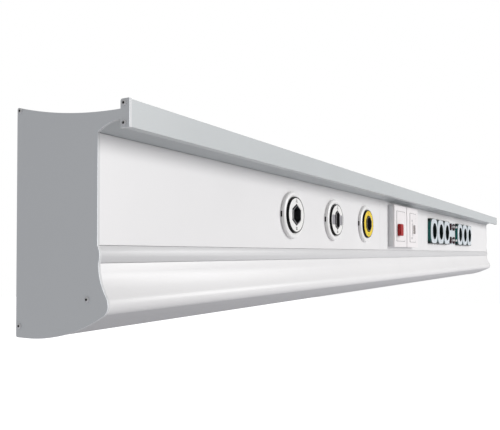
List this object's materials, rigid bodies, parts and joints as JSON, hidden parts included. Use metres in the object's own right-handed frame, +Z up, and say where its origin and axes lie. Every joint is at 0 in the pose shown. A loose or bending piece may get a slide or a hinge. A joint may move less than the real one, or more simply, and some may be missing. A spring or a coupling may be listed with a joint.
{
  "type": "bed head unit",
  "caption": "Wall trunking for a hospital bed head: curved wing with an equipment rail, gas outlets, call and handset plates, socket blocks and bonding studs.",
  "frame": {"origin": "centre of the wall fixing pattern, in the wall plane and 110 mm above the underside", "axes": "+X along the unit to its right end, +Y into the wall, +Z up; the front looks to -Y"},
  "size_m": [2.0032, 0.1413, 0.2194],
  "materials": {
    "profile_paint": "satin powder coat",
    "panel_paint": "satin powder coat",
    "cover_paint": "satin powder coat",
    "end_paint": "satin powder coat",
    "zinc": "zinc plated",
    "sheet_steel": "galvanised",
    "spring_steel": "bright",
    "grey_plastic": "moulded",
    "white_plastic": "moulded",
    "yellow_plastic": "moulded",
    "plate_plastic": "moulded",
    "black_plastic": "moulded",
    "guide_metal": "blackened",
    "body_coat": "black lacquer on brass",
    "red_plastic": "moulded",
    "board_green": "coated laminate",
    "green_plastic": "moulded",
    "well_plastic": "moulded",
    "maroon_plastic": "moulded",
    "brass": "turned",
    "copper": "drawn tube",
    "rubber": "moulded",
    "chrome": "polished"
  },
  "bodies": {
    "unit": {"back_profile": "profile_paint", "top_profile": "profile_paint", "gas_panel": "panel_paint", "signal_panel": "panel_paint", "socket_panel": "panel_paint", "blank_panel": "panel_paint", "lower_cover": "cover_paint", "left_end_plate": "end_paint", "right_end_plate": "end_paint", "wing_screws": "zinc", "end_screws": "zinc", "handset_screws": "zinc", "cross_dividers": "sheet_steel", "valve_springs": "spring_steel", "collar_springs": "spring_steel", "button_spring": "spring_steel", "earth_clips": "spring_steel", "pipe_clips": "grey_plastic", "terminal_block": "grey_plastic", "rosette_1": "white_plastic", "rosette_2": "white_plastic", "rosette_3": "white_plastic", "plate_box": "white_plastic", "socket_tiles_1": "white_plastic", "socket_tiles_2": "white_plastic", "bonding_plate": "white_plastic", "call_plate": "plate_plastic", "call_module": "plate_plastic", "handset_plate": "plate_plastic", "handset_module": "plate_plastic", "call_switch": "black_plastic", "probe_guide_1": "guide_metal", "probe_guide_2": "guide_metal", "probe_guide_3": "guide_metal", "gas_bodies": "body_coat", "call_board": "board_green", "socket_frame_1": "green_plastic", "socket_frame_2": "green_plastic", "bonding_collars": "maroon_plastic", "socket_wells_1": "well_plastic", "socket_wells_2": "well_plastic", "inlet_caps": "brass", "socket_contacts": "brass", "earth_bar": "brass", "handset_pins": "brass", "gas_pipe_1": "copper", "gas_pipe_2": "copper", "gas_pipe_3": "copper", "probe_seals": "rubber", "bonding_studs": "chrome"},
    "collar_1": {"release_collar_1": "black_plastic", "face_disc_1": "white_plastic"},
    "valve_1": {"gas_valve_1": "brass"},
    "collar_2": {"release_collar_2": "black_plastic", "face_disc_2": "white_plastic"},
    "valve_2": {"gas_valve_2": "brass"},
    "collar_3": {"release_collar_3": "black_plastic", "face_disc_3": "yellow_plastic"},
    "valve_3": {"gas_valve_3": "brass"},
    "button": {"call_button": "red_plastic"}
  },
  "joints": [
    {"name": "collar_slide_1", "type": "slide", "parent": "unit", "child": "collar_1", "axis": [0, 1, 0], "range_m": [0, 0.002], "stiffness_N_per_m": 800, "springref_m": -0.002, "deforming": ["collar_springs"]},
    {"name": "valve_slide_1", "type": "slide", "parent": "unit", "child": "valve_1", "axis": [0, 1, 0], "range_m": [0, 0.003], "stiffness_N_per_m": 600, "springref_m": -0.002, "deforming": ["valve_springs"]},
    {"name": "collar_slide_2", "type": "slide", "parent": "unit", "child": "collar_2", "axis": [0, 1, 0], "range_m": [0, 0.002], "stiffness_N_per_m": 800, "springref_m": -0.002, "deforming": ["collar_springs"]},
    {"name": "valve_slide_2", "type": "slide", "parent": "unit", "child": "valve_2", "axis": [0, 1, 0], "range_m": [0, 0.003], "stiffness_N_per_m": 600, "springref_m": -0.002, "deforming": ["valve_springs"]},
    {"name": "collar_slide_3", "type": "slide", "parent": "unit", "child": "collar_3", "axis": [0, 1, 0], "range_m": [0, 0.002], "stiffness_N_per_m": 800, "springref_m": -0.002, "deforming": ["collar_springs"]},
    {"name": "valve_slide_3", "type": "slide", "parent": "unit", "child": "valve_3", "axis": [0, 1, 0], "range_m": [0, 0.003], "stiffness_N_per_m": 600, "springref_m": -0.002, "deforming": ["valve_springs"]},
    {"name": "button_slide", "type": "slide", "parent": "unit", "child": "button", "axis": [0, 1, 0], "range_m": [0, 0.0025], "stiffness_N_per_m": 500, "springref_m": -0.002, "deforming": ["button_spring"]}
  ]
}
